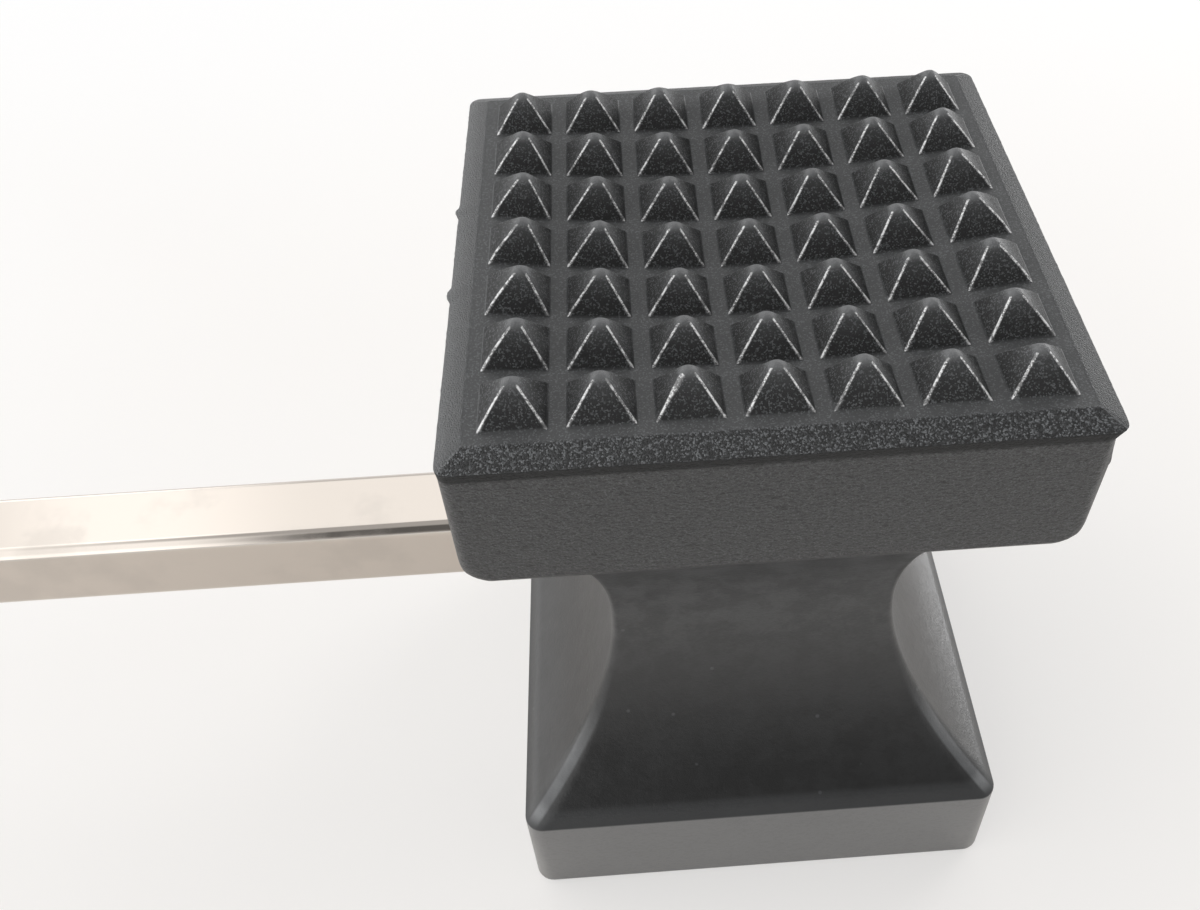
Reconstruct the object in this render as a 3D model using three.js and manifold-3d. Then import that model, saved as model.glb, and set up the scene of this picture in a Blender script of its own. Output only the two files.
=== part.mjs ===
// A double-faced meat mallet: a waisted black nylon head with a field of pyramid teeth on its
// upper face and a smooth lower face, on a square tube of polished steel.
// Millimetres, +Z up. The origin is the centre of the smooth face, which the mallet stands on.
// The handle runs towards -X, and the teeth point to +Z.

import * as THREE from 'three'
import Module from 'manifold-3d'
import { mergeVertices } from 'three/addons/utils/BufferGeometryUtils.js'

const wasm = await Module()
wasm.setup()

// Fits shared by all pieces
const seatGap = 0.3
const cutOverrun = 5

// Head: two square blocks joined by a waist
const faceSide = 60
const wallHeight = 15.4
const waistSpan = 52.2
const waistWidth = 33.6
const waistEdgeChamfer = 1.1
const baseEdgeRadius = 0.8

// Head: corners in plan, as radii
const blockCornerRadius = 1.4
const waistCornerRadius = 1.1
const flareCornerRadius = 2.1
const toothedFaceCornerRadius = 0.5
const undersideCornerRadius = 3
const undersideCornerRise = 2.8

// Head: the lip round the toothed face
const lipOverhang = 0.35
const lipUndercutHeight = 0.9
const lipThickness = 0.2
const faceBevelWidth = 2.3
const faceBevelHeight = 1

// Teeth: square pyramids with blunt tips, standing in rows on the bevelled face
const toothBase = 6.12
const toothSpacing = 1.62
const toothHeight = 3.45
const toothTipWidth = 1.1
const toothTipRounding = 0.2
const toothRidgeRadius = 0.3
const toothFieldMargin = 1.2
const toothRootDepth = 0.5

// Head: how far the thick nylon has sunk in the middle of the toothed face, and where that starts
const faceSinkDepth = 2.1
const faceSinkMargin = 4.8
const faceSinkRunOutShare = 0.06

// Handle: a square tube, let into the waist and held by one pin
const tubeSide = 10
const tubeWall = 0.8
const tubeCornerRadius = 1.2
const tubeFreeLength = 175
const tubePastPin = 9
const tubeDrop = 0.5

// Pin, driven from the rear of the waist
const pinDiameter = 4
const pinChamfer = 0.4
const pinRecess = 0.6
const pinGripPastTube = 3.5

// Plug that closes the far end of the tube
const plugCapThickness = 2.4
const plugCapRounding = 0.6
const plugStemLength = 12
const plugStemTaper = 0.8

// How many straight steps stand for one round stretch
const cornerSteps = 5
const edgeSteps = 3
const flareSteps = 22
const toothCornerSteps = 1
const pinSides = 32

// Sizes that follow from the ones above
const faceHalf = faceSide / 2
const upperHalf = faceHalf - lipOverhang
const waistHalf = waistWidth / 2
const flareEndHalf = faceHalf - waistEdgeChamfer
const waistFoot = wallHeight + waistEdgeChamfer
const waistTop = wallHeight + waistSpan - waistEdgeChamfer
const waistCentre = (waistFoot + waistTop) / 2
const undersideHeight = wallHeight + waistSpan
const lipHeight = undersideHeight + wallHeight
const toothedFaceHeight = lipHeight + faceBevelHeight
const tubeHalf = tubeSide / 2
const tubeAxisHeight = waistCentre - tubeDrop
const tubeBore = tubeSide - 2 * tubeWall
const boreCornerRadius = Math.max(tubeCornerRadius - tubeWall, seatGap)
const tubeFarEnd = faceHalf + tubeFreeLength
const pinRadius = pinDiameter / 2

// Materials
const blackNylon = { color: 0x2c2d30, roughness: 0.62, metalness: 0 }
const plugNylon = { color: 0x242527, roughness: 0.5, metalness: 0 }
const polishedSteel = { color: 0xd6d4cf, roughness: 0.12, metalness: 1 }
const pinSteel = { color: 0xa9a8a5, roughness: 0.35, metalness: 1 }

// The outline of a square with rounded corners, walked anticlockwise seen from above.
function roundedSquare(half, radius, steps) {
  const points = []
  const inset = half - radius
  for (let corner = 0; corner < 4; corner++) {
    const start = corner * Math.PI / 2
    const middle = start + Math.PI / 4
    const centreX = Math.sign(Math.cos(middle)) * inset
    const centreY = Math.sign(Math.sin(middle)) * inset
    for (let step = 0; step <= steps; step++) {
      const angle = start + (step / steps) * Math.PI / 2
      points.push([centreX + radius * Math.cos(angle), centreY + radius * Math.sin(angle)])
    }
  }
  return points
}

// A closed skin through rounded squares stacked along +Z, from the lowest to the highest.
function loftSquares(levels, steps) {
  const positions = []
  const indices = []
  const ringSize = 4 * (steps + 1)
  for (const level of levels) {
    for (const [x, y] of roundedSquare(level.half, level.radius, steps)) {
      positions.push(x, y, level.z)
    }
  }
  for (let ring = 0; ring + 1 < levels.length; ring++) {
    for (let side = 0; side < ringSize; side++) {
      const next = (side + 1) % ringSize
      const low = ring * ringSize
      const high = low + ringSize
      indices.push(low + side, low + next, high + next)
      indices.push(low + side, high + next, high + side)
    }
  }
  const footCentre = positions.length / 3
  positions.push(0, 0, levels[0].z)
  const headCentre = footCentre + 1
  positions.push(0, 0, levels[levels.length - 1].z)
  const lastRing = (levels.length - 1) * ringSize
  for (let side = 0; side < ringSize; side++) {
    const next = (side + 1) % ringSize
    indices.push(footCentre, next, side)
    indices.push(headCentre, lastRing + side, lastRing + next)
  }
  const geometry = new THREE.BufferGeometry()
  geometry.setAttribute('position', new THREE.Float32BufferAttribute(positions, 3))
  geometry.setIndex(indices)
  return geometry
}

// Three.js geometry to a solid that can be joined and cut, and back again.
function toSolid(geometry) {
  const bare = geometry.clone()
  bare.deleteAttribute('normal')
  bare.deleteAttribute('uv')
  const merged = mergeVertices(bare)
  const mesh = new wasm.Mesh({
    numProp: 3,
    vertProperties: new Float32Array(merged.attributes.position.array),
    triVerts: new Uint32Array(merged.index.array),
  })
  return new wasm.Manifold(mesh)
}

function toGeometry(solid) {
  const mesh = solid.getMesh()
  const geometry = new THREE.BufferGeometry()
  geometry.setAttribute('position', new THREE.Float32BufferAttribute(mesh.vertProperties, 3))
  geometry.setIndex(new THREE.BufferAttribute(new Uint32Array(mesh.triVerts), 1))
  return geometry
}

function namedMesh(name, geometry, finish) {
  const shaded = geometry.toNonIndexed()
  shaded.computeVertexNormals()
  const mesh = new THREE.Mesh(shaded, new THREE.MeshStandardMaterial(finish))
  mesh.name = name
  return mesh
}

// Head. The waist's four faces are cylinders, so its half width follows one arc, found from
// the height of the waist and from how much wider its ends are than its middle.
const flareHalfSpan = (waistTop - waistFoot) / 2
const flareDepth = flareEndHalf - waistHalf
const flareRadius = (flareHalfSpan ** 2 + flareDepth ** 2) / (2 * flareDepth)

function flareHalfWidth(fromMiddle) {
  return waistHalf + flareRadius - Math.sqrt(flareRadius ** 2 - fromMiddle ** 2)
}

// The rounded edge where the lower block's walls turn into the smooth face.
function baseEdgeLevels() {
  const levels = []
  for (let step = 0; step <= edgeSteps; step++) {
    const angle = (step / edgeSteps) * Math.PI / 2
    const inset = baseEdgeRadius * (1 - Math.sin(angle))
    const z = baseEdgeRadius * (1 - Math.cos(angle))
    levels.push({ z, half: faceHalf - inset, radius: blockCornerRadius })
  }
  return levels
}

// The waist, whose corners are tighter at the middle than at the ends.
function flareLevels() {
  const levels = []
  for (let step = 0; step <= flareSteps; step++) {
    const along = 2 * step / flareSteps - 1
    const fromMiddle = along * flareHalfSpan
    const radius = waistCornerRadius + (flareCornerRadius - waistCornerRadius) * along ** 2
    levels.push({ z: waistCentre + fromMiddle, half: flareHalfWidth(fromMiddle), radius })
  }
  return levels
}

// The lower corners of the upper block, which are rounder than the corners above them.
function undersideLevels() {
  const levels = []
  for (let step = 0; step <= cornerSteps; step++) {
    const left = 1 - step / cornerSteps
    const growth = 1 - Math.sqrt(1 - left ** 2)
    const radius = blockCornerRadius + (undersideCornerRadius - blockCornerRadius) * growth
    const z = undersideHeight + undersideCornerRise * (1 - left)
    levels.push({ z, half: upperHalf, radius })
  }
  return levels
}

// The lip, which stands a little proud of the walls, and the bevel round the toothed face.
function lipLevels() {
  const radius = blockCornerRadius
  const lipFoot = lipHeight - lipThickness
  return [
    { z: lipFoot - lipUndercutHeight, half: upperHalf, radius },
    { z: lipFoot, half: faceHalf, radius },
    { z: lipHeight, half: faceHalf, radius },
    { z: toothedFaceHeight, half: faceHalf - faceBevelWidth, radius: toothedFaceCornerRadius },
  ]
}

// One tooth, with its root a little under the face so that it joins the block.
function toothGeometry() {
  const baseHalf = toothBase / 2
  const tipHalf = toothTipWidth / 2
  const shoulderHeight = toothHeight - toothTipRounding
  const lean = (baseHalf - tipHalf) / shoulderHeight
  const rootHalf = baseHalf + lean * toothRootDepth
  const capHalf = Math.max(tipHalf - toothTipRounding, tipHalf / 4)
  const radius = Math.min(toothRidgeRadius, tipHalf / 2)
  return loftSquares([
    { z: toothedFaceHeight - toothRootDepth, half: rootHalf, radius: toothRidgeRadius },
    { z: toothedFaceHeight + shoulderHeight, half: tipHalf, radius },
    { z: toothedFaceHeight + toothHeight, half: capHalf, radius: capHalf / 2 },
  ], toothCornerSteps)
}

function withTeeth(block) {
  const pitch = toothBase + toothSpacing
  const fieldSide = faceSide - 2 * (faceBevelWidth + toothFieldMargin)
  const teethPerRow = Math.floor((fieldSide - toothBase) / pitch) + 1
  const firstPlace = -pitch * (teethPerRow - 1) / 2
  const tooth = toSolid(toothGeometry())
  let solid = block
  for (let row = 0; row < teethPerRow; row++) {
    for (let column = 0; column < teethPerRow; column++) {
      const place = [firstPlace + column * pitch, firstPlace + row * pitch, 0]
      solid = solid.add(tooth.translate(place))
    }
  }
  return solid
}

// The share of the face's sink at a place along one axis, and how steeply it changes there.
// It is a parabola, with a soft run-out where the parabola would rise above the face.
function sinkAlong(place) {
  const span = faceHalf - faceSinkMargin
  const parabola = 1 - (place / span) ** 2
  const reach = Math.hypot(parabola, faceSinkRunOutShare)
  const share = (parabola + reach) / 2
  return { share, slope: -2 * place / span ** 2 * share / reach }
}

// Lowers the toothed face by its sink. Each tooth stays square to the face it stands on.
function sinkFace(geometry) {
  const places = geometry.attributes.position
  for (let index = 0; index < places.count; index++) {
    const height = places.getZ(index) - toothedFaceHeight
    if (height < -faceBevelHeight / 2) continue
    const across = sinkAlong(places.getX(index))
    const along = sinkAlong(places.getY(index))
    const leanX = height * faceSinkDepth * across.slope * along.share
    const leanY = height * faceSinkDepth * across.share * along.slope
    const depth = faceSinkDepth * across.share * along.share
    places.setX(index, places.getX(index) + leanX)
    places.setY(index, places.getY(index) + leanY)
    places.setZ(index, places.getZ(index) - depth)
  }
  return geometry
}

// A square bar with rounded corners along X, between two values of x.
function squareBar(side, radius, fromX, toX) {
  const outline = new THREE.Shape()
  const points = roundedSquare(side / 2, radius, cornerSteps)
  outline.setFromPoints(points.map(([x, y]) => new THREE.Vector2(x, y)))
  const bar = new THREE.ExtrudeGeometry(outline, { depth: toX - fromX, bevelEnabled: false })
  bar.rotateY(Math.PI / 2)
  bar.translate(fromX, 0, tubeAxisHeight)
  return bar
}

// A round bar along Y through the pin's place, between two values of y.
function roundBar(radius, fromY, toY) {
  const bar = new THREE.CylinderGeometry(radius, radius, toY - fromY, pinSides)
  bar.translate(0, (fromY + toY) / 2, tubeAxisHeight)
  return bar
}

const pinRearEnd = flareHalfWidth(tubeAxisHeight - waistCentre) - pinRecess
const pinFrontEnd = -(tubeHalf + seatGap + pinGripPastTube)

function headGeometry() {
  const levels = [...baseEdgeLevels(), { z: wallHeight, half: faceHalf, radius: blockCornerRadius }]
  levels.push(...flareLevels(), ...undersideLevels(), ...lipLevels())
  const block = toSolid(loftSquares(levels, cornerSteps))
  const socketSide = tubeSide + 2 * seatGap
  const socketRadius = tubeCornerRadius + seatGap
  const socketMouth = -(faceHalf + cutOverrun)
  const socketFloor = tubePastPin + seatGap
  const socket = squareBar(socketSide, socketRadius, socketMouth, socketFloor)
  const pinHoleRadius = pinRadius + seatGap
  const pinHole = roundBar(pinHoleRadius, pinFrontEnd - seatGap, faceHalf + cutOverrun)
  const cutBlock = withTeeth(block).subtract(toSolid(socket)).subtract(toSolid(pinHole))
  return sinkFace(toGeometry(cutBlock))
}

// Tube, open at both ends, with a hole for the pin in its front and rear walls.
function tubeGeometry() {
  const outside = squareBar(tubeSide, tubeCornerRadius, -tubeFarEnd, tubePastPin)
  const boreStart = -(tubeFarEnd + cutOverrun)
  const bore = squareBar(tubeBore, boreCornerRadius, boreStart, tubePastPin + cutOverrun)
  const pinHole = roundBar(pinRadius + seatGap, -(tubeHalf + cutOverrun), tubeHalf + cutOverrun)
  return toGeometry(toSolid(outside).subtract(toSolid(bore)).subtract(toSolid(pinHole)))
}

// Pin, with a chamfer at each end, turned about its own axis and laid along Y.
function pinGeometry() {
  const length = pinRearEnd - pinFrontEnd
  const profile = [
    new THREE.Vector2(0, 0),
    new THREE.Vector2(pinRadius - pinChamfer, 0),
    new THREE.Vector2(pinRadius, pinChamfer),
    new THREE.Vector2(pinRadius, length - pinChamfer),
    new THREE.Vector2(pinRadius - pinChamfer, length),
    new THREE.Vector2(0, length),
  ]
  return new THREE.LatheGeometry(profile, pinSides)
}

// Plug: a stem inside the tube and a cap the size of the tube over its end.
function plugGeometry() {
  const stemHalf = tubeBore / 2 - seatGap
  const stemRadius = boreCornerRadius
  const taperedHalf = stemHalf - plugStemTaper
  const capFoot = plugStemLength
  const capEdge = capFoot + plugCapThickness - plugCapRounding
  const capTop = capFoot + plugCapThickness
  const capTopHalf = tubeHalf - plugCapRounding
  return loftSquares([
    { z: 0, half: taperedHalf, radius: stemRadius },
    { z: plugStemTaper, half: stemHalf, radius: stemRadius },
    { z: capFoot, half: stemHalf, radius: stemRadius },
    { z: capFoot, half: tubeHalf, radius: tubeCornerRadius },
    { z: capEdge, half: tubeHalf, radius: tubeCornerRadius },
    { z: capTop, half: capTopHalf, radius: tubeCornerRadius },
  ], cornerSteps)
}

const group = new THREE.Group()

const head = namedMesh('mallet_head', headGeometry(), blackNylon)
group.add(head)

const handle = new THREE.Group()
handle.add(namedMesh('handle_tube', tubeGeometry(), polishedSteel))

const plug = namedMesh('handle_end_plug', plugGeometry(), plugNylon)
plug.rotation.y = -Math.PI / 2
plug.position.set(-(tubeFarEnd + seatGap) + plugStemLength, 0, tubeAxisHeight)
handle.add(plug)
group.add(handle)

const pin = namedMesh('retaining_pin', pinGeometry(), pinSteel)
pin.position.set(0, pinFrontEnd, tubeAxisHeight)
group.add(pin)

console.log('height to the rim of the toothed face', toothedFaceHeight.toFixed(2))
console.log('tube length', (tubeFarEnd + tubePastPin).toFixed(2))

export default group
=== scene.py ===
# %% [markdown]
# A meat mallet with a black nylon head on a square tube of polished steel.
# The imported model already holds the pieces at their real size. This lesson loads it as a fixed
# frame, builds a finely shaped mesh for each piece inside the same space, and gives each one a
# finish made of nodes alone, so that nothing here depends on an image file.

# %% Load the frame
import math
import random
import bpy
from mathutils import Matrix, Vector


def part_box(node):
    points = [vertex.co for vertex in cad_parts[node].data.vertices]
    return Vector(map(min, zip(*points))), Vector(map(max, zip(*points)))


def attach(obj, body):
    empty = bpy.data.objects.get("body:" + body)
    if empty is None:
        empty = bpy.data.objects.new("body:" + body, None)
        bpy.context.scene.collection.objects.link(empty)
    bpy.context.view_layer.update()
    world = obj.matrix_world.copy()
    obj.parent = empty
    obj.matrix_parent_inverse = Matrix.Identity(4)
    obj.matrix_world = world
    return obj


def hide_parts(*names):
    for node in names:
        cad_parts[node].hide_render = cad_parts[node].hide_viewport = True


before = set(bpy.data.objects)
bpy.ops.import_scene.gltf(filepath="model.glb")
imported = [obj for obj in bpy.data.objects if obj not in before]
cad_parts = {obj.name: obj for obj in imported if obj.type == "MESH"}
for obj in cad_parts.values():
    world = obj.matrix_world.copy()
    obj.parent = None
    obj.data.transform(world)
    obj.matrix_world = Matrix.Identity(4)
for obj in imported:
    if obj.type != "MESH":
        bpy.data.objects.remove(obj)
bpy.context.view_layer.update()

from types import SimpleNamespace

import bmesh
import bpy
from mathutils import Matrix, Vector, noise

print("frame nodes:", sorted(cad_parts))

# %% [markdown]
# The head is one moulding: two square blocks with a waist between them. Its outer sizes are
# read from the frame, so the dressed head cannot drift away from the solid it stands for.
# What the frame's box cannot tell, such as where the walls end, is a named size here.

# %% Sizes of the pieces, in metres
MM = 0.001
_, HEAD_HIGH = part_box("mallet_head")
TUBE_LOW, TUBE_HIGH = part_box("handle_tube")
PIN_LOW, PIN_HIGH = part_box("retaining_pin")
PLUG_LOW, PLUG_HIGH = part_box("handle_end_plug")

FACE_HALF = HEAD_HIGH.x
FACE_TOP = 84 * MM
TOOTH_HEIGHT = 3.43 * MM
BEVEL_WIDTH = 2.3 * MM
BEVEL_HEIGHT = 1.0 * MM
LIP_TOP = FACE_TOP - BEVEL_HEIGHT
LIP_HEIGHT = 1.6 * MM
LIP_FOOT = LIP_TOP - LIP_HEIGHT
LIP_OVERHANG = 0.35 * MM
WALL_HEIGHT = 15.4 * MM
UNDERSIDE = LIP_TOP - WALL_HEIGHT
WAIST_CHAMFER = 1.1 * MM
WAIST_FOOT = WALL_HEIGHT + WAIST_CHAMFER
WAIST_TOP = UNDERSIDE - WAIST_CHAMFER
WAIST_HALF = 16.8 * MM
FLARE_END_HALF = FACE_HALF - WAIST_CHAMFER
WAVER_ROOM = 0.05 * MM
LIP_HALF = FACE_HALF - WAVER_ROOM
UPPER_HALF = FACE_HALF - LIP_OVERHANG
BEVEL_INNER = FACE_HALF - BEVEL_WIDTH
TUBE_AXIS = (TUBE_LOW.z + TUBE_HIGH.z) / 2
SEAT_GAP = 0.3 * MM
print("face", round(2 * FACE_HALF / MM, 2), "mm")
print("head without teeth", round(FACE_TOP / MM, 2), "mm")

# %% [markdown]
# Every piece is a stack of rings, each a square with rounded corners. A round bar is the same
# ring with a corner radius as large as its half width. Each ring has the same number of
# points, so two neighbours always join in clean four-sided faces.

# %% Rings and the skin between them
CORNER_STEPS = 8


def rounded_square(half, radius, side_steps, corner_steps=CORNER_STEPS):
    """Points of a rounded square, anticlockwise, starting where the +X side ends."""
    points = []
    inset = half - radius
    for corner in range(4):
        turn = Matrix.Rotation(corner * math.pi / 2, 2)
        for step in range(corner_steps + 1):
            angle = step / corner_steps * math.pi / 2
            arc_point = Vector((inset + radius * math.cos(angle), inset + radius * math.sin(angle)))
            points.append(turn @ arc_point)
        for step in range(1, side_steps):
            along = inset - 2 * inset * step / side_steps
            points.append(turn @ Vector((along, half)))
    return points


def add_ring(bm, points, z):
    """New vertices at these points, at one height."""
    return [bm.verts.new((point[0], point[1], z)) for point in points]


def add_skin(bm, low, high):
    """Four-sided faces between two rings, facing out when the second ring is the higher one."""
    for index in range(len(low)):
        after = (index + 1) % len(low)
        bm.faces.new((low[index], low[after], high[after], high[index]))


def add_fan(bm, ring, z, upward):
    """Closes a ring with triangles round a middle vertex."""
    middle = sum((vert.co for vert in ring), Vector()) / len(ring)
    centre = bm.verts.new((middle.x, middle.y, z))
    for index in range(len(ring)):
        after = (index + 1) % len(ring)
        edge = (ring[index], ring[after]) if upward else (ring[after], ring[index])
        bm.faces.new((*edge, centre))


def closed_stack(sections, side_steps, laid):
    """A closed bmesh from (half, radius, z) rings, laid as a matrix says."""
    bm = bmesh.new()
    rings = []
    for half, radius, z in sections:
        rings.append(add_ring(bm, rounded_square(half, radius, side_steps), z))
    for low, high in zip(rings, rings[1:]):
        add_skin(bm, low, high)
    add_fan(bm, rings[0], sections[0][2], upward=False)
    add_fan(bm, rings[-1], sections[-1][2], upward=True)
    bm.transform(laid)
    return bm


# %% Fillets along a profile
FILLET_STEPS = 5


def filleted(profile):
    """A profile of (half, z, fillet) corners as (half, z) points with each corner rounded."""
    points = [Vector(profile[0][:2])]
    for index in range(1, len(profile) - 1):
        corner = Vector(profile[index][:2])
        fillet = profile[index][2]
        before = (Vector(profile[index - 1][:2]) - corner).normalized()
        after = (Vector(profile[index + 1][:2]) - corner).normalized()
        opening = before.angle(after)
        reach = fillet / math.tan(opening / 2)
        centre = corner + (before + after).normalized() * fillet / math.sin(opening / 2)
        first = (corner + before * reach - centre).normalized()
        last = (corner + after * reach - centre).normalized()
        for step in range(FILLET_STEPS + 1):
            points.append(centre + first.slerp(last, step / FILLET_STEPS) * fillet)
    points.append(Vector(profile[-1][:2]))
    return points


def table_value(table, place):
    """Reads a table of (place, value) rows, with straight lines between its rows."""
    for (low, low_value), (high, high_value) in zip(table, table[1:]):
        if place <= high:
            share = max(0, (place - low) / (high - low))
            return low_value + share * (high_value - low_value)
    return table[-1][1]


# %% From a bmesh to a piece that rides on the mallet
def as_mesh(bm, name):
    """A mesh with the shape of a bmesh, which is freed."""
    mesh = bpy.data.meshes.new(name)
    bm.to_mesh(mesh)
    bm.free()
    return mesh


def add_object(name, data):
    """A new object in the scene that shows a mesh, a lamp or a camera."""
    added = bpy.data.objects.new(name, data)
    bpy.context.scene.collection.objects.link(added)
    return added


def place_piece(mesh, name, node, sharp_degrees):
    """Links a mesh, smooths it up to an angle, hangs it on the root, and hides the frame's part
    that it stands for.
    """
    mesh.polygons.foreach_set("use_smooth", [True] * len(mesh.polygons))
    mesh.set_sharp_from_angle(angle=math.radians(sharp_degrees))
    piece = add_object(name, mesh)
    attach(piece, "root")
    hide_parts(node)
    print(name, "has", len(mesh.polygons), "faces")
    return piece


# %% Cut holes with Boolean modifiers
WELD = 0.0005 * MM


def cut(bm, cutters):
    """Cuts closed bmeshes out of another one, and returns the mesh that is left."""
    holder = add_object("uncut", as_mesh(bm, "uncut"))
    tools = []
    for number, cutter in enumerate(cutters):
        bmesh.ops.remove_doubles(cutter, verts=cutter.verts, dist=WELD)
        tools.append(add_object(f"cutter_{number}", as_mesh(cutter, f"cutter_{number}")))
        boolean = holder.modifiers.new(f"cut_{number}", "BOOLEAN")
        boolean.operation = "DIFFERENCE"
        boolean.solver = "EXACT"
        boolean.object = tools[-1]
    depsgraph = bpy.context.evaluated_depsgraph_get()
    result = bpy.data.meshes.new_from_object(holder.evaluated_get(depsgraph))
    for spare in [holder, *tools]:
        bpy.data.objects.remove(spare)
    return result


# %% [markdown]
# The toothed face is what the eye goes to first. Each tooth is a pyramid that ends in a small
# dome, and the dome is the part of a ball that its four flanks touch, so nothing shows where
# they meet. The ridges are rounded too, which is what lets them catch light.
# Each tooth sits in its own square cell. The cell's border has the same points as its
# neighbours' borders, so all the cells weld into one continuous face.

# %% Flank and dome of a tooth
TOOTH_BASE = 6.22 * MM
TOOTH_PITCH = 7.74 * MM
TEETH_PER_SIDE = 7
DOME_HALF = 0.72 * MM
RIDGE_RADIUS = 0.16 * MM
TOOTH_CORNER_STEPS = 4
TOOTH_SIDE_STEPS = 12
CELL_STEPS = TOOTH_CORNER_STEPS + TOOTH_SIDE_STEPS
FLANK_SHARES = [0.0, 0.04, 0.12, 0.3, 0.5, 0.7, 0.85, 0.95]
DOME_STEPS = 6
FIRST_SLOPE = math.radians(54)
SLOPE_ROUNDS = 20


def tooth_profile():
    """(half, height) rings of a tooth: its flank, and the dome on top.

    The flank's slope depends on how high the flank reaches, and that on the dome, which
    depends on the slope. A few rounds from a first guess settle it.
    """
    slope = FIRST_SLOPE
    for settling in range(SLOPE_ROUNDS):
        flank_height = TOOTH_HEIGHT - DOME_HALF * math.tan(slope / 2)
        slope = math.atan2(flank_height, TOOTH_BASE / 2 - DOME_HALF)
    rings = []
    for share in FLANK_SHARES:
        rings.append((TOOTH_BASE / 2 + share * (DOME_HALF - TOOTH_BASE / 2), share * flank_height))
    ball = DOME_HALF / math.sin(slope)
    for step in range(DOME_STEPS):
        angle = slope * (1 - step / DOME_STEPS)
        rings.append((ball * math.sin(angle), TOOTH_HEIGHT - ball * (1 - math.cos(angle))))
    return rings


print("a tooth has", len(tooth_profile()), "rings")

# %% One tooth in its cell
TOOTH_UNEVENNESS = 0.05 * MM
TOP_ROUNDING = 0.6 * DOME_HALF
TOP_ROUNDING_POWER = 8
WIDEST_CORNER_SHARE = 0.8
tooth_places = random.Random(7)


def cell_border(half):
    """Points round a square cell, in step with the points of a tooth's rings."""
    points = []
    for index in range(4 * CELL_STEPS):
        place = (index - TOOTH_CORNER_STEPS / 2) % (4 * CELL_STEPS)
        side, along = divmod(place, CELL_STEPS)
        point = Vector((half - 2 * half * along / CELL_STEPS, half))
        points.append(Matrix.Rotation(side * math.pi / 2, 2) @ point)
    return points


def add_tooth(bm, centre):
    """One tooth with the strip of flat face round it, out to the border of its cell."""
    sway = Vector([tooth_places.uniform(-1, 1) * TOOTH_UNEVENNESS for axis in range(2)])
    shrink = 1 - tooth_places.random() * TOOTH_UNEVENNESS / TOOTH_HEIGHT
    border = [centre + point for point in cell_border(TOOTH_PITCH / 2)]
    below = add_ring(bm, border, FACE_TOP)
    for half, height in tooth_profile():
        share = height / TOOTH_HEIGHT
        radius = RIDGE_RADIUS * (1 + share) + TOP_ROUNDING * share**TOP_ROUNDING_POWER
        radius = min(radius, half * WIDEST_CORNER_SHARE)
        outline = rounded_square(half, radius, TOOTH_SIDE_STEPS, TOOTH_CORNER_STEPS)
        points = [centre + sway * share + point for point in outline]
        ring = add_ring(bm, points, FACE_TOP + shrink * height)
        add_skin(bm, below, ring)
        below = ring
    add_fan(bm, below, FACE_TOP + shrink * TOOTH_HEIGHT, upward=True)


def tooth_centres():
    """The middle of each tooth, row by row."""
    first = -TOOTH_PITCH * (TEETH_PER_SIDE - 1) / 2
    for row in range(TEETH_PER_SIDE):
        for column in range(TEETH_PER_SIDE):
            yield Vector((first + column * TOOTH_PITCH, first + row * TOOTH_PITCH))


print("teeth:", len(list(tooth_centres())))

# %% [markdown]
# The rest of the head is one stack of rings from the smooth face up to the bevel. Its profile
# is a short list of corners with a fillet at each, and the waist is an arc between two of
# them. The corner radius changes with height: tight at the middle of the waist, wider at its
# ends, and widest where the upper block's walls turn under.

# %% Corner radii of the head, by height
WAIST_MIDDLE = (WAIST_FOOT + WAIST_TOP) / 2
UNDERSIDE_RISE = 2.8 * MM
UNDERSIDE_STEPS = 8
UNDERSIDE_CORNER = 3.0 * MM
WALL_CORNER = 1.4 * MM

CORNER_RADII = [
    (0.0, 2.3 * MM),
    (WALL_HEIGHT * 0.2, 2.1 * MM),
    (WALL_HEIGHT, 2.3 * MM),
    (WAIST_FOOT, 2.8 * MM),
    ((WAIST_FOOT + WAIST_MIDDLE) / 2, 1.2 * MM),
    (WAIST_MIDDLE, 0.8 * MM),
    ((WAIST_TOP + WAIST_MIDDLE) / 2, 1.1 * MM),
    (WAIST_TOP, 2.1 * MM),
    (UNDERSIDE, UNDERSIDE_CORNER),
]
for step in range(1, UNDERSIDE_STEPS + 1):
    still_to_rise = 1 - step / UNDERSIDE_STEPS
    growth = 1 - math.sqrt(1 - still_to_rise**2)
    height = UNDERSIDE + UNDERSIDE_RISE * (1 - still_to_rise)
    CORNER_RADII.append((height, WALL_CORNER + (UNDERSIDE_CORNER - WALL_CORNER) * growth))
CORNER_RADII += [(LIP_TOP, 1.3 * MM), (FACE_TOP, 0.3 * MM)]
print("corner radii in mm:", [round(radius / MM, 2) for _, radius in CORNER_RADII])

# %% Sizes along the head's profile
SIDE_STEPS = TEETH_PER_SIDE * CELL_STEPS
FLARE_STEPS = 56
SMOOTH_FACE_FILLET = 0.8 * MM
BLOCK_FILLET = 0.3 * MM
WAIST_END_FILLET = 0.35 * MM
UNDERSIDE_FILLET = 0.5 * MM
LIP_FOOT_FILLET = 0.2 * MM
LIP_STEP_FILLET = 0.08 * MM
LIP_EDGE_FILLET = 0.12 * MM
LIP_EDGE_HEIGHT = 0.22 * MM
BEVEL_FILLET = 0.5 * MM
FACE_RUN = 0.2 * MM
SMOOTH_FACE_RUN = 2 * MM

BODY_SHIFT = -0.3 * MM
FLAKE_PLACE = Vector((UPPER_HALF + BODY_SHIFT, -28.6 * MM, LIP_TOP - 5.0 * MM))
FLAKE_WIDTH = 0.45 * MM
FLAKE_RING_SHARES = [-1.2, -0.8, -0.4, 0.0, 0.4, 0.8, 1.2]
print("the upper block leans by", round(-BODY_SHIFT / MM, 2), "mm")


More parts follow.
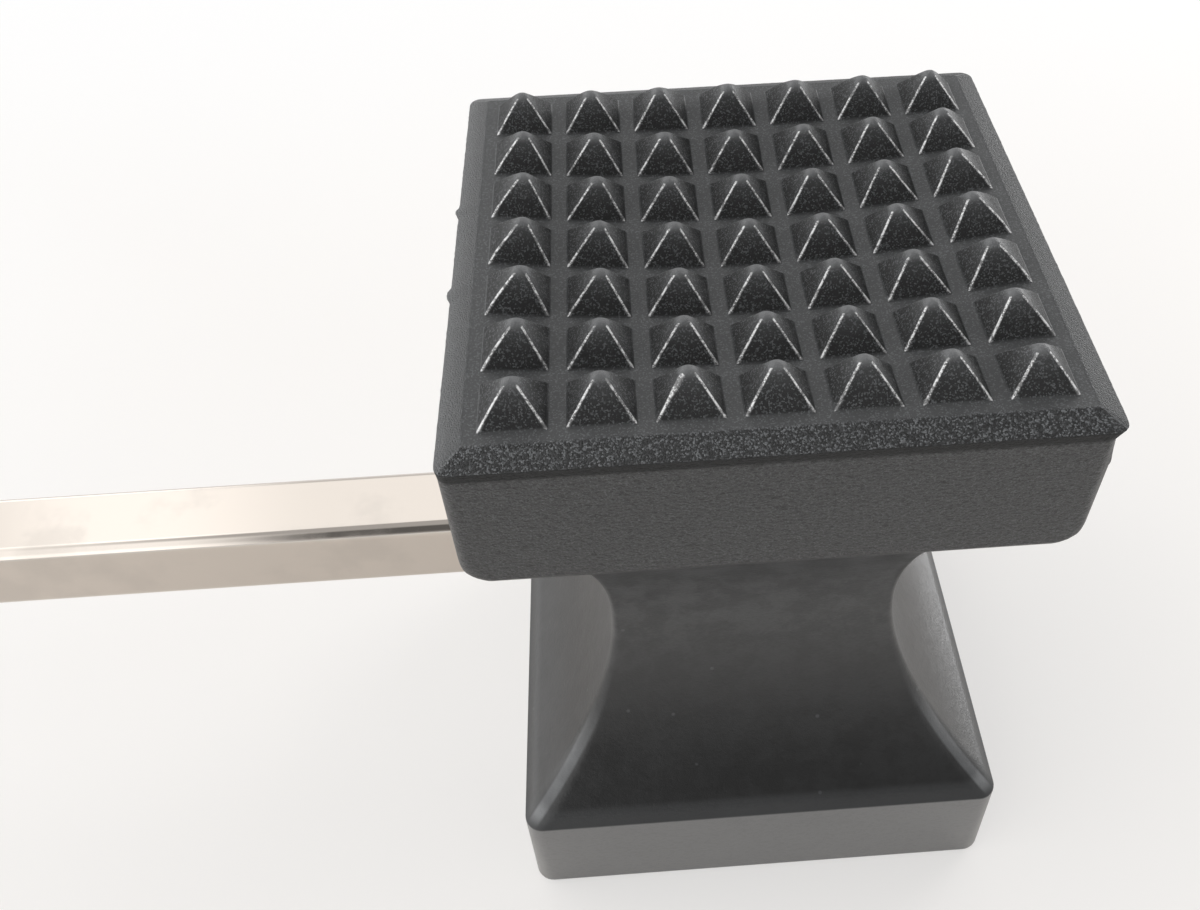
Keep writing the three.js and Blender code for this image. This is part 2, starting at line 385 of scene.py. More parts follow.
# %% The head's profile
def flare_half(z):
    """Half width of the waist at a height, which is one arc of a circle."""
    span = (WAIST_TOP - WAIST_FOOT) / 2
    depth = FLARE_END_HALF - WAIST_HALF
    arc_radius = (span**2 + depth**2) / (2 * depth)
    return WAIST_HALF + arc_radius - math.sqrt(arc_radius**2 - (z - WAIST_MIDDLE) ** 2)


def head_profile():
    """(half, z) points from the edge of the smooth face to the inner edge of the bevel."""
    rise = (WAIST_TOP - WAIST_FOOT) / FLARE_STEPS
    heights = [WAIST_FOOT + rise * step for step in range(1, FLARE_STEPS)]
    lower = filleted([
        (FACE_HALF - SMOOTH_FACE_RUN, 0, 0),
        (FACE_HALF, 0, SMOOTH_FACE_FILLET),
        (FACE_HALF, WALL_HEIGHT, BLOCK_FILLET),
        (FLARE_END_HALF, WAIST_FOOT, WAIST_END_FILLET),
        (flare_half(heights[0]), heights[0], 0),
    ])
    waist = [Vector((flare_half(z), z)) for z in heights[1:-1]]
    upper = filleted([
        (flare_half(heights[-1]), heights[-1], 0),
        (FLARE_END_HALF, WAIST_TOP, WAIST_END_FILLET),
        (UPPER_HALF, UNDERSIDE, UNDERSIDE_FILLET),
        (UPPER_HALF, LIP_FOOT, LIP_FOOT_FILLET),
        (LIP_HALF, LIP_TOP - LIP_EDGE_HEIGHT, LIP_STEP_FILLET),
        (LIP_HALF, LIP_TOP, LIP_EDGE_FILLET),
        (BEVEL_INNER, FACE_TOP, BEVEL_FILLET),
        (BEVEL_INNER - FACE_RUN, FACE_TOP, 0),
    ])
    underside = [
        Vector((UPPER_HALF, UNDERSIDE + UNDERSIDE_RISE * step / UNDERSIDE_STEPS))
        for step in range(2, UNDERSIDE_STEPS + 1)
    ]
    round_flake = [
        Vector((UPPER_HALF, FLAKE_PLACE.z + FLAKE_WIDTH * share)) for share in FLAKE_RING_SHARES
    ]
    return sorted(lower + waist + upper + underside + round_flake, key=lambda point: point.y)


print("profile has", len(head_profile()), "rings")

# %% [markdown]
# The mould has left its marks. Where its halves meet at the lip, the edge wavers slightly and
# two bits of thin flash stand out on the handle's side. The upper block and the waist lean a
# little towards the handle, away from the lip on top of them, one stretch of the front edge is
# a little higher than the rest, and a flake sticks to one corner. These are moved vertices, so
# they show in the outline too.

# %% Flash and waver along the lip
FLASH_BITS = [
    (Vector((-FACE_HALF, 7.5 * MM)), 0.6 * MM),
    (Vector((-FACE_HALF, -6.1 * MM)), 0.8 * MM),
]
FLASH_REACH = 0.4 * MM
WAVES_PER_METRE = 900
PATCH_POWER = 4


def between(value, low, high):
    """0 below one value, 1 above another, and a straight line between them."""
    return min(1, max(0, (value - low) / (high - low)))


def patch(distance, width):
    """1 in the middle of a small round patch, falling off steeply at its width."""
    return math.exp(-((distance / width) ** PATCH_POWER))


def lip_push(point):
    """How far a point of the lip stands out: a waver all along, more where flash is."""
    waver = min(1, abs(noise.noise(point.to_3d() * WAVES_PER_METRE)) * 2)
    push = waver * WAVER_ROOM
    for place, width in FLASH_BITS:
        push += patch((point - place).length, width) * FLASH_REACH
    return push


print("bits of flash:", len(FLASH_BITS))

# %% Move a point of the head by the marks of the mould
FLAKE_REACH = 0.35 * MM
FLAKE_STRETCH_SHARE = 0.5
EDGE_DEPTH = 0.1 * MM
EDGE_SPREAD = 0.5 * MM
MISMATCH_START = -2.9 * MM
MISMATCH_RAMP = 1.2 * MM
MISMATCH = 0.28 * MM


def near_share(value, place, spread):
    """1 at a place, falling to 0 a spread away from it."""
    return max(0, 1 - abs(value - place) / spread)


def mould_marks(x, y, z):
    """Moves a point of the head by what the mould has left there."""
    lip_share = near_share(z, LIP_TOP - EDGE_DEPTH, EDGE_SPREAD)
    if lip_share > 0:
        outward = Vector((x, y)) / max(abs(x), abs(y))
        push = lip_push(Vector((x, y))) * lip_share
        x, y = x + outward.x * push, y + outward.y * push
    below_lip = between(-z, -LIP_TOP, -LIP_FOOT)
    above_foot = between(z, WAIST_FOOT, WAIST_MIDDLE)
    x += BODY_SHIFT * below_lip * above_foot
    from_flake = Vector((x, y, z)) - FLAKE_PLACE
    from_flake.z *= FLAKE_STRETCH_SHARE
    x += patch(from_flake.length, FLAKE_WIDTH) * FLAKE_REACH
    edge_share = near_share(z, LIP_FOOT, EDGE_SPREAD)
    if y < -UPPER_HALF + EDGE_DEPTH and edge_share > 0:
        step_share = between(x, MISMATCH_START, MISMATCH_START + MISMATCH_RAMP)
        z += MISMATCH * step_share * edge_share
    return x, y, z


print("the front edge steps up by", round(MISMATCH / MM, 2), "mm")


# %% Cutters for the socket and for the pin's hole
SOCKET_OVERRUN = 5 * MM
PIN_OVERRUN = 2 * MM
SOCKET_CORNER = 1.5 * MM
SOCKET_SIDE_STEPS = 2
ROUND_SIDE_STEPS = 1
ALONG_X = Matrix.Translation((0, 0, TUBE_AXIS)) @ Matrix.Rotation(-math.pi / 2, 4, "Y")
ALONG_Y = Matrix.Translation((0, 0, TUBE_AXIS)) @ Matrix.Rotation(-math.pi / 2, 4, "X")


def socket_cutter():
    """The square hole that the tube sits in. A piece laid along X is built towards -X."""
    half = (TUBE_HIGH.y - TUBE_LOW.y) / 2 + SEAT_GAP
    ends = (-(TUBE_HIGH.x + SEAT_GAP), FACE_HALF + SOCKET_OVERRUN)
    return closed_stack([(half, SOCKET_CORNER, z) for z in ends], SOCKET_SIDE_STEPS, ALONG_X)


def pin_cutter(low, high):
    """The round hole that the pin sits in, between two values of y."""
    radius = (PIN_HIGH.x - PIN_LOW.x) / 2 + SEAT_GAP
    return closed_stack([(radius, radius, z) for z in (low, high)], ROUND_SIDE_STEPS, ALONG_Y)


print("the handle's axis is", round(TUBE_AXIS / MM, 2), "mm above the smooth face")


# %% Join the bevel to the field of teeth
def join_teeth_to(bm, rim):
    """Faces between the bevel's inner rim and the border of the field of teeth."""
    half = TOOTH_PITCH * TEETH_PER_SIDE / 2
    for side in range(4):
        turn = Matrix.Rotation(side * math.pi / 2, 2)
        border = []
        for step in range(SIDE_STEPS + 1):
            place = turn @ Vector((half - 2 * half * step / SIDE_STEPS, half))
            border.append(bm.verts.new((place.x, place.y, FACE_TOP)))
        start = side * (SIDE_STEPS + CORNER_STEPS)
        for step in range(CORNER_STEPS):
            bm.faces.new((rim[start + step], rim[start + step + 1], border[0]))
        start += CORNER_STEPS
        for step in range(SIDE_STEPS):
            outer = rim[start + step]
            outer_after = rim[(start + step + 1) % len(rim)]
            bm.faces.new((outer, outer_after, border[step + 1], border[step]))


# %% Build the head
HEAD_SHARP_DEGREES = 38


def build_head():
    """The whole moulding: its stack of rings, its teeth, its socket and the pin's hole."""
    bm = bmesh.new()
    rings = []
    for half, z in head_profile():
        outline = rounded_square(half, table_value(CORNER_RADII, z), SIDE_STEPS)
        rings.append([bm.verts.new(mould_marks(point.x, point.y, z)) for point in outline])
    for low, high in zip(rings, rings[1:]):
        add_skin(bm, low, high)
    add_fan(bm, rings[0], 0, upward=False)
    join_teeth_to(bm, rings[-1])
    for centre in tooth_centres():
        add_tooth(bm, centre)
    bmesh.ops.remove_doubles(bm, verts=bm.verts, dist=WELD)
    bmesh.ops.recalc_face_normals(bm, faces=bm.faces)
    mesh = cut(bm, [socket_cutter(), pin_cutter(PIN_LOW.y - SEAT_GAP, FACE_HALF)])
    return place_piece(mesh, "head_moulding", "mallet_head", HEAD_SHARP_DEGREES)


head = build_head()

# %% [markdown]
# The ridges on the front of each tooth are worn pale and carry a painted highlight, one of them
# has been scraped, the domes are scuffed and carry a painted highlight, and the feet get painted
# shade. Which vertices those are follows from the shape, so two values from 0 to 1 are stored on
# the mesh: how much of a ridge a vertex is, and how high on a tooth it stands. The finish reads
# them by name.

# %% Mark the ridges and the height on a tooth
RIDGE_REACH = 0.3 * MM
# How pale the back ridges are beside the front ones: worn pale and painted as a highlight.
BACK_RIDGE_WEAR = 0.3
RIDGE_END = 0.9 * TOOTH_HEIGHT
TOOTH_FOOT = 0.01 * MM
SCRAPED_TOOTH = (-1, -3)
SCRAPED_REACH = 0.5 * MM
SCRAPED_MIDDLE = 0.72 * TOOTH_HEIGHT
SCRAPED_SPREAD = 0.35 * TOOTH_HEIGHT


def ridge_share(place):
    """1 on a tooth's front ridges, less on its back ones, and 0 away from them."""
    height = place.z - FACE_TOP
    if height < TOOTH_FOOT or height > RIDGE_END:
        return 0
    cell = (round(place.x / TOOTH_PITCH), round(place.y / TOOTH_PITCH))
    across = place.x - cell[0] * TOOTH_PITCH
    along = place.y - cell[1] * TOOTH_PITCH
    # Front ridges are paler than back ones, worn and painted as a highlight.
    wear = 1 if along < 0 else BACK_RIDGE_WEAR
    reach = RIDGE_REACH
    if cell == SCRAPED_TOOTH and across < 0 and along < 0:
        reach += SCRAPED_REACH * near_share(height, SCRAPED_MIDDLE, SCRAPED_SPREAD)
    return wear * max(0, 1 - abs(abs(across) - abs(along)) / reach)


def tooth_share(place):
    """0 at the foot of a tooth and 1 at its top."""
    return max(0, (place.z - FACE_TOP) / TOOTH_HEIGHT)


# The ridge mark is both worn paleness and a painted highlight; the height mark places painted shade
# at the feet and a painted highlight on the domes.
for mark_name, mark_share in (("worn_ridge", ridge_share), ("tooth_height", tooth_share)):
    mark = head.data.attributes.new(mark_name, "FLOAT", "POINT")
    mark.data.foreach_set("value", [mark_share(vert.co) for vert in head.data.vertices])
    print(mark_name, "vertices:", sum(1 for item in mark.data if item.value > 0.5))

# %% [markdown]
# Nylon shrinks as it cools, and a thick block shrinks most in its middle. The toothed face
# has sunk by two millimetres there, while its rim stayed straight, so the rows of teeth sag
# like a slack net. The vertices are lowered by a parabola along each axis, deepest a little
# in front of the middle, and each tooth leans inwards with the face that it stands on.

# %% Sink the toothed face
SINK_DEPTH = 2.1 * MM
SINK_SPAN = FACE_HALF - 4.8 * MM
SINK_MIDDLE_Y = -0.9 * MM
SINK_RUN_OUT_SHARE = 0.06
LEAN_SHARES = Vector((1.35, 1.2))
SINK_FOOT = FACE_TOP - 0.5 * BEVEL_HEIGHT


def sink_along(place):
    """The share of the sink at a place along one axis, and how steeply it changes there."""
    parabola = 1 - (place / SINK_SPAN) ** 2
    reach = math.hypot(parabola, SINK_RUN_OUT_SHARE)
    share = (parabola + reach) / 2
    return share, -2 * place / SINK_SPAN**2 * share / reach


def sink_face(mesh):
    """Lowers every vertex of the toothed face, and leans what stands above the face."""
    for vert in mesh.vertices:
        if vert.co.z > SINK_FOOT:
            height = vert.co.z - FACE_TOP
            share_x, slope_x = sink_along(vert.co.x)
            share_y, slope_y = sink_along(vert.co.y - SINK_MIDDLE_Y)
            lean = Vector((slope_x * share_y, share_x * slope_y)) * LEAN_SHARES * height
            vert.co += Vector((lean.x, lean.y, -share_x * share_y)) * SINK_DEPTH
    mesh.update()


sink_face(head.data)
face_heights = [vert.co.z for vert in head.data.vertices if vert.co.z > UNDERSIDE + UNDERSIDE_RISE
                and vert.co.xy.length < TOOTH_PITCH]
print("the face has sunk by", round((FACE_TOP - min(face_heights)) / MM, 2), "mm in its middle")

# %% [markdown]
# The handle is a square tube. It is a real tube here too: one closed skin runs along the
# outside, over the rim, back through the bore and over the other rim. Its corners have many
# steps, because a polished corner shows every facet as a break in its reflections.

# %% Build the tube
TUBE_HALF = (TUBE_HIGH.y - TUBE_LOW.y) / 2
TUBE_CORNER = 1.5 * MM
TUBE_WALL = 0.8 * MM
BORE_HALF = TUBE_HALF - TUBE_WALL
BORE_CORNER = 0.4 * MM
RIM_ROUNDING = 0.12 * MM
TUBE_STATIONS = 40
TUBE_SIDE_STEPS = 6
TUBE_CORNER_STEPS = 14
TUBE_SHARP_DEGREES = 35


def tube_sections():
    """(half, radius, z) rings of the tube's closed skin: outside, rim, bore and rim."""
    near, far = -TUBE_HIGH.x, -TUBE_LOW.x
    spacing = (far - near - 2 * RIM_ROUNDING) / TUBE_STATIONS
    sections = [(TUBE_HALF - RIM_ROUNDING, TUBE_CORNER, near)]
    for station in range(TUBE_STATIONS + 1):
        sections.append((TUBE_HALF, TUBE_CORNER, near + RIM_ROUNDING + spacing * station))
    sections.append((TUBE_HALF - RIM_ROUNDING, TUBE_CORNER, far))
    return sections + [(BORE_HALF, BORE_CORNER, far), (BORE_HALF, BORE_CORNER, near)]


def build_tube():
    """The tube, with the pin's hole through two of its walls."""
    bm = bmesh.new()
    rings = []
    for half, radius, z in tube_sections():
        outline = rounded_square(half, radius, TUBE_SIDE_STEPS, TUBE_CORNER_STEPS)
        rings.append(add_ring(bm, outline, z))
    for low, high in zip(rings, rings[1:] + rings[:1]):
        add_skin(bm, low, high)
    bm.transform(ALONG_X)
    bmesh.ops.recalc_face_normals(bm, faces=bm.faces)
    mesh = cut(bm, [pin_cutter(TUBE_LOW.y - PIN_OVERRUN, TUBE_HIGH.y + PIN_OVERRUN)])
    return place_piece(mesh, "handle_steel_tube", "handle_tube", TUBE_SHARP_DEGREES)


tube = build_tube()

# %% [markdown]
# The pin and the plug are small, but a chamfer and a rounded edge are what make a small piece
# read as made rather than drawn. Both are closed stacks of rings, laid along their own axes.

# %% A small piece from a closed stack of rings
SMALL_SHARP_DEGREES = 40


def small_piece(bm, name, node):
    """Welds a closed stack and places it as a piece."""
    bmesh.ops.remove_doubles(bm, verts=bm.verts, dist=WELD)
    bmesh.ops.recalc_face_normals(bm, faces=bm.faces)
    return place_piece(as_mesh(bm, name), name, node, SMALL_SHARP_DEGREES)


# %% Build the pin
PIN_RADIUS = (PIN_HIGH.x - PIN_LOW.x) / 2
PIN_CHAMFER = 0.4 * MM
PIN_END_FILLET = 0.08 * MM
PIN_SIDE_FILLET = 0.1 * MM
PIN_END_SHARE = 0.3

pin_points = filleted([
    (PIN_RADIUS * PIN_END_SHARE, PIN_LOW.y, 0),
    (PIN_RADIUS - PIN_CHAMFER, PIN_LOW.y, PIN_END_FILLET),
    (PIN_RADIUS, PIN_LOW.y + PIN_CHAMFER, PIN_SIDE_FILLET),
    (PIN_RADIUS, PIN_HIGH.y - PIN_CHAMFER, PIN_SIDE_FILLET),
    (PIN_RADIUS - PIN_CHAMFER, PIN_HIGH.y, PIN_END_FILLET),
    (PIN_RADIUS * PIN_END_SHARE, PIN_HIGH.y, 0),
])
pin_stack = closed_stack([(half, half, z) for half, z in pin_points], ROUND_SIDE_STEPS, ALONG_Y)
pin = small_piece(pin_stack, "cross_pin", "retaining_pin")

# %% Build the plug
CAP_FOOT = -TUBE_LOW.x + SEAT_GAP
CAP_TOP = -PLUG_LOW.x
CAP_CORNER = 1.2 * MM
STEM_FOOT = -PLUG_HIGH.x
STEM_HALF = BORE_HALF - SEAT_GAP
STEM_TAPER = 0.8 * MM
PLUG_END_SHARES = (0.5, 0.4)
PLUG_SIDE_STEPS = 6

plug_points = filleted([
    (STEM_HALF * PLUG_END_SHARES[0], STEM_FOOT, 0),
    (STEM_HALF - STEM_TAPER, STEM_FOOT, 0.15 * MM),
    (STEM_HALF, STEM_FOOT + STEM_TAPER, 0.3 * MM),
    (STEM_HALF, CAP_FOOT, 0.05 * MM),
    (TUBE_HALF, CAP_FOOT, 0.1 * MM),
    (TUBE_HALF, CAP_TOP, 0.7 * MM),
    (TUBE_HALF * PLUG_END_SHARES[1], CAP_TOP, 0),
])


def plug_corner(half):
    """The corner radius of a ring of the plug: the bore's on the stem, more on the cap."""
    return min(CAP_CORNER, half / 2) if half > STEM_HALF else BORE_CORNER


plug_sections = [(half, plug_corner(half), z) for half, z in plug_points]
plug_stack = closed_stack(plug_sections, PLUG_SIDE_STEPS, ALONG_X)
plug = small_piece(plug_stack, "end_plug", "handle_end_plug")

# %% [markdown]
# A finish is a tree of nodes, and most of it is arithmetic on masks. Writing that arithmetic
# as Python expressions keeps it readable: a small class wraps a socket, and each operator
# adds the Math node it stands for. Everything else comes from one method that adds a node.

# %% Shader maths as expressions
class Wire:
    """A socket that carries a number, so that sums of wires add their own Math nodes."""

    def __init__(self, finish, socket):
        self.finish = finish
        self.socket = socket

    def math(self, operation, first, second=0.0):
        return self.finish.node("ShaderNodeMath", {"operation": operation}, {0: first, 1: second})

    def __add__(self, other):
        return self.math("ADD", self, other)

    def __sub__(self, other):
        return self.math("SUBTRACT", self, other)

    def __rsub__(self, other):
        return self.math("SUBTRACT", other, self)

    def __mul__(self, other):
        return self.math("MULTIPLY", self, other)

    def __abs__(self):
        return self.math("ABSOLUTE", self)

    def larger(self, other):
        return self.math("MAXIMUM", self, other)

    __radd__ = __add__
    __rmul__ = __mul__


# %% Nodes of a material or of the world
class Finish:
    """A material or a world under construction: one method adds nodes, the rest name them."""

    def __init__(self, owner):
        owner.use_nodes = True
        self.owner = owner
        self.tree = owner.node_tree
        self.tree.nodes.clear()

    def node(self, kind, settings=None, inputs=None, output=0):
        """Adds a node, sets it up, feeds its sockets, and returns one of its outputs."""
        added = self.tree.nodes.new(kind)
        for name, value in (settings or {}).items():
            setattr(added, name, value)
        for name, value in (inputs or {}).items():
            if isinstance(value, Wire):
                self.tree.links.new(value.socket, added.inputs[name])
            else:
                added.inputs[name].default_value = value
        return Wire(self, added.outputs[output])

    def split(self, vector):
        """The three numbers of a vector, as three wires."""
        return [
            self.node("ShaderNodeSeparateXYZ", inputs={0: vector}, output=axis) for axis in range(3)
        ]

    def axes(self):
        """The place on the piece, in metres, as three wires."""
        return self.split(self.node("ShaderNodeTexCoord", output="Object"))

    def mark(self, name):
        """A value that the mesh stores for each of its vertices."""
        return self.node("ShaderNodeAttribute", {"attribute_name": name}, output="Fac")

    def place(self, stretch=(1, 1, 1)):
        """The place on the piece, stretched along its axes."""
        coordinates = self.node("ShaderNodeTexCoord", output="Object")
        return self.node(
            "ShaderNodeVectorMath", {"operation": "MULTIPLY"}, {0: coordinates, 1: stretch}
        )

    def grain(self, size, detail=3.0, roughness=0.6, stretch=(1, 1, 1)):
        """Noise whose lumps are about this size in metres."""
        return self.node(
            "ShaderNodeTexNoise", {"noise_dimensions": "3D"},
            {"Vector": self.place(stretch), "Scale": 1 / size, "Detail": detail,
             "Roughness": roughness},
        )

    def pebbles(self, size):
        """Cells of about this size in metres: a random number for each, and its rounded top."""
        colour = self.node(
            "ShaderNodeTexVoronoi", {"voronoi_dimensions": "3D"},
            {"Vector": self.place(), "Scale": 1 / size}, output="Color",
        )
        distance = Wire(self, colour.socket.node.outputs["Distance"])
        number = self.node("ShaderNodeSeparateXYZ", inputs={0: colour})
        return number, 1 - distance

    def rise(self, value, low, high):
        """0 below one value and 1 above another, with a smooth passage between."""
        return self.node(
            "ShaderNodeMapRange", {"interpolation_type": "SMOOTHSTEP"},
            {"Value": value, "From Min": low, "From Max": high},
        )

    def blend(self, share, first, second):
        """A colour between two others."""
        return self.node(
            "ShaderNodeMix", {"data_type": "RGBA"}, {0: share, 6: first, 7: second}, output=2
        )

    def bump(self, height, distance):
        """A surface normal bent by a height map whose full height is this distance."""
        return self.node("ShaderNodeBump", inputs={"Height": height, "Distance": distance})

    def surface(self, **inputs):
        """A material that ends in one plain shader with these inputs."""
        named = {name.replace("_", " "): value for name, value in inputs.items()}
        return self.end(self.node("ShaderNodeBsdfPrincipled", inputs=named))

    def end(self, shader, kind="ShaderNodeOutputMaterial"):
        """Links the last shader to the output, and returns the material or the world."""
        output = self.tree.nodes.new(kind)
        self.tree.links.new(shader.socket, output.inputs["Surface"])
        return self.owner


def grey(value, warmth=0.0):
    """A grey colour, warmer where warmth is above 0 and cooler where it is below."""
    return (value * (1 + warmth), value, value * (1 - warmth), 1.0)


# %% [markdown]
# The head is one material whose zones differ in texture, as the mould's surfaces do. The
# bevel has a coarse spark-eroded grain, the teeth a finer one, and the strips between them
# are almost smooth. The upper walls look like fine leather; the waist and the lower block
# shine a little more. Each zone is a mask worked out from the place on the head.

# %% Where each zone of the head lies
def head_zones(finish):
    """The place on the head, and masks that are 1 on their own zone and 0 elsewhere."""
    x, y, z = finish.axes()
    out = abs(x).larger(abs(y))
    zone = SimpleNamespace(x=x, z=z, out=out, from_corner=abs(abs(x) - abs(y)))
    above_lip = finish.rise(z, LIP_TOP - 0.25 * MM, LIP_TOP - 0.05 * MM)
    zone.bevel = above_lip * finish.rise(out, BEVEL_INNER - 0.3 * MM, BEVEL_INNER + 0.2 * MM)
    zone.front_bevel = zone.bevel * finish.rise(0 - y - abs(x), -0.3 * MM, 0.1 * MM)
    within_rim = 1 - finish.rise(out, BEVEL_INNER, BEVEL_INNER + 0.1 * MM)
    face = finish.rise(z, LIP_TOP - 4 * MM, LIP_TOP - 3 * MM) * within_rim
    zone.tooth_height = finish.mark("tooth_height")
    zone.tooth = finish.rise(zone.tooth_height, 0.01, 0.08)
    zone.strip = face * (1 - zone.tooth)
    zone.below_lip = 1 - above_lip.larger(face)
    upper_block = finish.rise(z, UNDERSIDE - 0.6 * MM, UNDERSIDE)
    zone.upper_wall = upper_block * zone.below_lip
    zone.waist = finish.rise(z, WALL_HEIGHT, WAIST_FOOT) * (1 - upper_block)
    zone.lower_wall = 1 - finish.rise(z, WALL_HEIGHT - 0.2 * MM, WALL_HEIGHT + 0.1 * MM)
    return zone


# %% Textures of the head
def head_textures(finish):
    """Pebbles and noise of several sizes, which every zone takes its share of."""
    texture = SimpleNamespace()
    texture.coarse, texture.coarse_rise = finish.pebbles(0.145 * MM)
    texture.fine, texture.fine_rise = finish.pebbles(0.13 * MM)
    texture.speck, texture.speck_rise = finish.pebbles(2.6 * MM)
    texture.leather = finish.grain(0.42 * MM, roughness=0.7, stretch=(0.75, 0.75, 1.2))
    # Noise whose low places are darkened as painted shade of dents that the shape does not have.
    texture.dent = finish.grain(0.9 * MM, detail=2.0, stretch=(0.6, 0.6, 1.2))
    texture.patchy = finish.grain(0.9 * MM)
    texture.blotch = finish.grain(3.5 * MM, detail=5.0, roughness=0.7)
    texture.mottle = finish.rise(texture.blotch, 0.4, 0.6)
    texture.uneven = finish.grain(9 * MM, detail=2.0)
    return texture


def head_height(zone, texture):
    """The height of the grain, in millimetres."""
    return (
        texture.coarse_rise * (zone.bevel * 0.09 + zone.front_bevel * 0.04)
        + texture.fine_rise * (zone.tooth * 0.04 + 0.012)
        + texture.leather * (zone.upper_wall * 0.5 + (zone.waist + zone.lower_wall) * 0.04)
        + texture.blotch * zone.waist * 0.1
        + texture.uneven * 0.15
    )


# %% [markdown]
# Colour tells how the head has been used, and it also holds painted light and shade. The ridges
# and the domes are worn pale and carry a painted highlight, and the bevel's mitres carry a
# painted highlight too. The feet of the teeth, the groove under the lip and the lower waist get
# painted shade, the hollows of the leathery grain too, and single grains get painted glints.
# The lower block, the bevel on the handle's side, the upper waist and a strip up the waist's
# lower corners get painted light, and the strips and the upper walls a paler tone. Each of
# these is a mask, and the colour is a chain of blends, from the bare nylon to the last mark.

# %% Lighter and darker places of the head
def head_marks(finish, zone, texture):
    """Masks of what is paler or darker than the bare nylon, painted light and painted shade among
    them.
    """
    mark = SimpleNamespace()
    handle_side = finish.rise(zone.x, FACE_HALF, -FACE_HALF)
    bevel_edge = finish.rise(zone.out, BEVEL_INNER + 0.4 * MM, FACE_HALF)
    # Painted light on the bevel's handle side, most towards its outer edge.
    side_bevel = zone.bevel * (1 - zone.front_bevel) * (0.25 + 0.45 * bevel_edge) * handle_side
    mark.dull_bevel = zone.bevel * (1 - handle_side)
    # Painted highlight along the bevel's mitres.
    mark.mitre = zone.bevel * (1 - finish.rise(zone.from_corner, 0.05 * MM, 0.2 * MM))
    # Painted shade at the feet of the teeth.
    mark.foot = zone.tooth * (1 - finish.rise(zone.tooth_height, 0.3, 0.95))
    # Scuffs and a painted highlight on the domes.
    mark.dome = finish.rise(zone.tooth_height, 0.76, 1.0)

    # Painted highlight: a pale strip up the lower corners of the waist.
    low_waist = finish.rise(zone.z, WAIST_FOOT + 11 * MM, WAIST_FOOT + 4 * MM)
    near_corner = finish.rise(zone.from_corner, 1.3 * MM, 0.7 * MM)
    mark.waist_corner = zone.waist * near_corner * low_waist
    # Painted light on the upper waist, patchy with the mottle.
    high_waist = finish.rise(zone.z, WAIST_FOOT + 8 * MM, WAIST_MIDDLE + 4 * MM)
    waist_light = zone.waist * high_waist * (0.1 + 0.3 * texture.mottle)
    # Painted shade on the lower waist.
    off_the_edge = finish.rise(zone.z, WAIST_FOOT + 0.1 * MM, WAIST_FOOT + 0.8 * MM)
    below_middle = 1 - finish.rise(zone.z, WAIST_FOOT + 4 * MM, WAIST_MIDDLE)
    mark.waist_dark = off_the_edge * below_middle * (0.95 - 0.2 * texture.mottle)
    # A paler tone on the strips and upper walls, and painted light on the lower block, the bevel's
    # handle side, the upper waist and the waist's corners.
    mark.lift = zone.upper_wall * 0.08 + zone.strip * 0.2 + zone.lower_wall
    mark.lift = mark.lift + side_bevel + waist_light + mark.waist_corner

    # Painted shade in the band under the lip, whose foot wavers.
    band_foot = LIP_FOOT + 0.5 * MM * (texture.leather - 0.5)
    mark.under_lip = finish.rise(zone.z - band_foot, -0.2 * MM, 0.45 * MM) * zone.below_lip
    return mark


# %% Painted glints on single grains, and darker hollows and cells
def head_grains(finish, zone, texture, waist_corner):
    """Masks of the painted glints, the darker hollows and cells, and the worn ridges with their
    painted highlight.
    """
    # Painted glints on single grains of the teeth, strips, upper walls, bevel and waist, and on the
    # highlight strip at the waist's corners.
    speck_top = finish.rise(texture.speck, 0.75, 0.8) * finish.rise(texture.speck_rise, 0.88, 0.94)
    pale_fine = finish.rise(texture.fine, 0.65, 1.0)
    pale_coarse = finish.rise(texture.coarse, 0.6, 1.0)
    glint = (
        pale_fine * (zone.tooth * 0.3 + zone.strip * 0.25 + zone.upper_wall * 0.2)
        + pale_coarse * (zone.front_bevel * 0.45 + zone.bevel * 0.1)
        + speck_top * zone.waist * 0.14
        + waist_corner * 0.3
    )
    # Painted shade in the low places of the leathery grain and in the dents, and random darker
    # cells on the front bevel.
    low_leather = finish.rise(texture.leather, 0.5, 0.41)
    pits = (
        low_leather * (zone.upper_wall * 0.9 + (zone.waist + zone.lower_wall) * 0.2)
        + finish.rise(texture.dent, 0.36, 0.3) * zone.upper_wall
        + finish.rise(texture.coarse, 0.5, 0.25) * zone.front_bevel * 0.9
    )
    # Ridges worn pale and carrying a painted highlight, broken up in patches.
    broken = finish.rise(texture.fine * 0.3 + texture.patchy, 0.52, 0.78)
    rubbed = finish.rise(finish.mark("worn_ridge"), 0.2, 0.75) * (0.2 + 0.8 * broken)
    return glint, pits, rubbed


